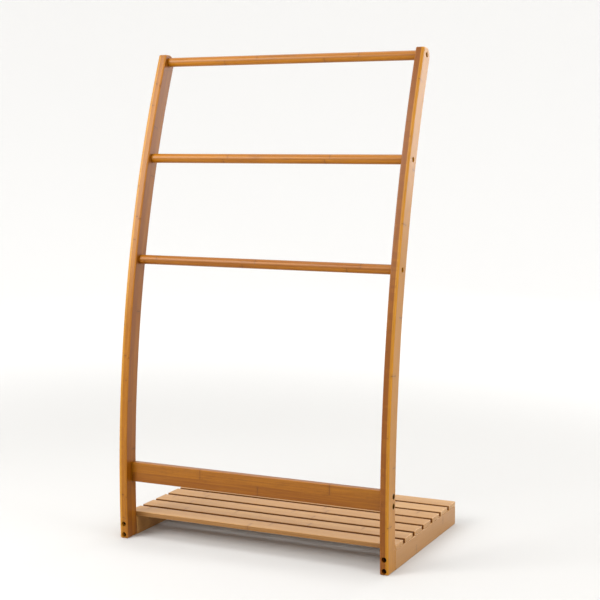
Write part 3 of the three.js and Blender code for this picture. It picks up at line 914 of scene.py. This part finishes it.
def screw_surface(box, axis, way, sizes):
    """A screw with a round head, a hexagon socket and a thread, in the CAD node's box.

    way is the sign of the direction from the tip to the head. Every ring has one radius for each angle t:
    the socket's is (width / 2) / cos(t folded into -30..30 degrees), and the shank's falls by the thread
    depth times the triangle wave of (distance / pitch - t / 360 degrees).
    """
    low, high = box
    place, segments = (low + high) / 2, 36
    head_top, tip = (high[axis], low[axis]) if way > 0 else (low[axis], high[axis])
    length = abs(head_top - tip)
    cross = [a for a in (X, Y, Z) if a != axis][0]
    head = (high[cross] - low[cross]) / 2
    angle = np.arange(segments) * (2 * math.pi / segments)
    folded = (angle + math.pi / 6) % (math.pi / 3) - math.pi / 6
    hexagon = sizes.socket_width / 2 / np.cos(folded)

    turn = np.linspace(0, math.pi / 2, 5)
    bevel = 0.1 * MM  # of the head's lower edge
    head_radii = np.concatenate([
        head - sizes.head_round * (1 - np.sin(turn)), [head, head - bevel, sizes.shank / 2]])
    head_depths = np.concatenate([
        sizes.head_round * (1 - np.cos(turn)),
        [sizes.head_height - bevel, sizes.head_height, sizes.head_height]])
    neck = sizes.head_height + 4 * MM  # plain stretch under the head
    taper = 5 * MM  # length of the pointed tip
    depths = np.arange(neck, length - 0.2 * MM, sizes.thread_pitch / 8)
    phase = (depths[:, None] / sizes.thread_pitch - angle / (2 * math.pi)) % 1
    valley = sizes.thread_depth * np.minimum(np.abs(phase - 0.5) * 3, 1)
    narrowing = np.clip((length - depths) / taper, 0.02, 1)[:, None]
    shank = (sizes.shank / 2 - valley) * np.sqrt(narrowing)

    def level(values):
        return np.repeat(np.asarray(values)[:, None], segments, 1)

    radii = np.concatenate([
        [hexagon * 0.3, hexagon, hexagon], level(head_radii), level([sizes.shank / 2]), shank])
    socket_depths = [sizes.socket_depth * 1.15, sizes.socket_depth, 0]
    all_depths = np.concatenate([
        level(socket_depths), level(head_depths), level([neck - 0.5 * MM]), level(depths)])
    return turned_surface(around(radii, head_top - way * all_depths, axis, place, segments))


class TOWELRACK_OT_screws(Operator):
    """Build the screws of the bars, the crossbar and the runners"""
    bl_idname = "towelrack.screws"
    bl_label = "Screws"

    def execute(self, context):
        sizes = context.scene.towel_rack.fastener
        material = black_oxide_steel("black_oxide_steel")
        for side, sign in SIDES.items():
            ways = [(screw, X, sign) for screw in SIDE_SCREWS] + [(screw, Y, -1) for screw in FOOT_SCREWS]
            for screw, axis, way in ways:
                node = f"{screw}_screw_{side}"
                surface = screw_surface(node_box(node), axis, way, sizes)
                name = f"{screw}_cap_screw_{side}"
                finish_piece(new_piece(name, new_mesh(name, *surface)), material, node)
        return {"FINISHED"}


class TOWELRACK_OT_dowels(Operator):
    """Build the fluted dowels between the slats and the runners"""
    bl_idname = "towelrack.dowels"
    bl_label = "Dowels"

    def execute(self, context):
        sizes = context.scene.towel_rack.fastener
        material = turned_beech("turned_beech")
        segments, chamfer, flute_depth = 4 * sizes.flutes, 0.6 * MM, 0.15 * MM
        angle = np.arange(segments) * (2 * math.pi / segments)
        for slat in SLATS:
            for side in SIDES:
                node = f"{slat}_dowel_{side}"
                low, high = node_box(node)
                radius = (high[X] - low[X]) / 2
                # the flutes: a shallow cosine wave round the dowel, none at its chamfered ends
                wave = flute_depth * (1 - np.cos(sizes.flutes * angle)) / 2
                rims = np.array([radius - chamfer, radius, radius, radius - chamfer])[:, None]
                radii = rims - np.array([0, 1, 1, 0])[:, None] * wave
                levels = [low[Z], low[Z] + chamfer, high[Z] - chamfer, high[Z]]
                surface = turned_surface(around(radii, levels, Z, (low + high) / 2, segments))
                name = f"{slat}_fluted_dowel_{side}"
                finish_piece(new_piece(name, new_mesh(name, *surface)), material, node)
        return {"FINISHED"}


# ---------------------------------------------------------------- stage

def softbox(name, place, aim, width, height, power):
    """A soft rectangular light at a place, turned to the aim and hidden from the camera."""
    data = bpy.data.lights.new(name, "AREA")
    data.shape, data.size, data.size_y, data.energy = "RECTANGLE", width, height, power
    light = bpy.data.objects.new(name, data)
    light.location = place
    light.rotation_euler = (Vector(aim) - Vector(place)).to_track_quat("-Z", "Y").to_euler()
    light.visible_camera = False
    bpy.context.scene.collection.objects.link(light)


class TOWELRACK_OT_stage(Operator):
    """Build the pale studio floor, the soft light and the camera"""
    bl_idname = "towelrack.stage"
    bl_label = "Stage"

    def execute(self, context):
        studio = context.scene.towel_rack.studio
        low, high = (np.array(corner) for corner in CAD_BOX)
        # Floor: a disc round a pole that sweeps up into a wall all round, on a quarter circle on which its
        # radius grows with the sine and its level with one less the cosine.
        flat, sweep, wall, segments = 3.8, 2.0, 5.0, 96
        turn = np.linspace(0, math.pi / 2, 17)
        radii = np.concatenate([[0.6, 1.5, 3.0], flat + sweep * np.sin(turn), [flat + sweep]])
        levels = np.concatenate([np.zeros(3), sweep * (1 - np.cos(turn)), [wall]])
        rings = around(radii, low[Z] + levels, Z, (0, 0, 0), segments)
        numbers = np.arange(len(radii) * segments).reshape(len(radii), segments)
        points = np.concatenate([rings.reshape(-1, 3), [[0, 0, low[Z]]]])
        fan = np.stack([np.full(segments, len(points) - 1), numbers[0], np.roll(numbers[0], -1)], -1)
        mesh = bpy.data.meshes.new("studio_floor")
        mesh.from_pydata(points.tolist(), [], ring_quads(numbers).tolist() + fan.tolist())
        smooth(mesh)
        mesh.materials.append(backlit_vinyl("backlit_vinyl"))
        new_piece("studio_floor", mesh)

        world = bpy.data.worlds.new("studio")
        world.use_nodes = True
        sky = world.node_tree.nodes["Background"].inputs
        sky["Color"].default_value, sky["Strength"].default_value = (1, 1, 1, 1), 0.57
        context.scene.world = world
        context.scene.view_settings.view_transform = "Standard"
        middle = (low + high) / 2
        softbox("front_softbox", (-0.95, -1.4, 1.45), middle, 0.9, 1.3, 31)
        softbox("side_softbox", (2.8, -0.3, 1.6), middle, 1.6, 1.6, 34)
        softbox("back_softbox", (0.8, 3.2, 1.2), middle, 1.0, 1.6, 26)
        softbox("top_softbox", (-0.3, 0.6, 3.4), middle, 2.4, 2.4, 25)
        data = bpy.data.lights.new("ceiling", "SUN")
        data.energy, data.angle = 0.9, math.radians(80)
        ceiling = bpy.data.objects.new("ceiling", data)
        context.scene.collection.objects.link(ceiling)

        data = bpy.data.cameras.new("camera")
        data.sensor_width, data.lens, data.shift_y = 36, studio.lens, studio.rise
        data.clip_start, data.clip_end = 0.05, 60
        camera = bpy.data.objects.new("camera", data)
        across, up = studio.azimuth, studio.elevation
        back = Vector((math.sin(across) * math.cos(up), -math.cos(across) * math.cos(up), math.sin(up)))
        camera.location = Vector(middle) + Vector(studio.aim) + back * studio.distance
        camera.rotation_euler = (math.pi / 2 - up, 0, across)
        context.scene.collection.objects.link(camera)
        context.scene.camera = camera
        return {"FINISHED"}


# ---------------------------------------------------------------- add-on

PIECES = (
    TOWELRACK_OT_uprights,
    TOWELRACK_OT_bars,
    TOWELRACK_OT_crossbar,
    TOWELRACK_OT_runners,
    TOWELRACK_OT_slats,
    TOWELRACK_OT_screws,
    TOWELRACK_OT_dowels,
    TOWELRACK_OT_stage,
)


class TOWELRACK_PT_panel(Panel):
    """The towel rack's pieces in the sidebar"""
    bl_idname = "TOWELRACK_PT_panel"
    bl_label = "Towel Rack"
    bl_space_type = "VIEW_3D"
    bl_region_type = "UI"
    bl_category = "Towel Rack"

    def draw(self, context):
        for piece in PIECES:
            self.layout.operator(piece.bl_idname)


CLASSES = (
    UprightSettings, BoardSettings, FastenerSettings, FinishSettings, StudioSettings, RackSettings,
    *PIECES, TOWELRACK_PT_panel,
)


def register():
    for cls in CLASSES:
        bpy.utils.register_class(cls)
    bpy.types.Scene.towel_rack = PointerProperty(type=RackSettings)


def unregister():
    del bpy.types.Scene.towel_rack
    for cls in reversed(CLASSES):
        bpy.utils.unregister_class(cls)


def main():
    """Builds every piece and the stage."""
    register()
    bpy.ops.towelrack.uprights()
    bpy.ops.towelrack.bars()
    bpy.ops.towelrack.crossbar()
    bpy.ops.towelrack.runners()
    bpy.ops.towelrack.slats()
    bpy.ops.towelrack.screws()
    bpy.ops.towelrack.dowels()
    bpy.ops.towelrack.stage()


if __name__ == "__main__":
    main()
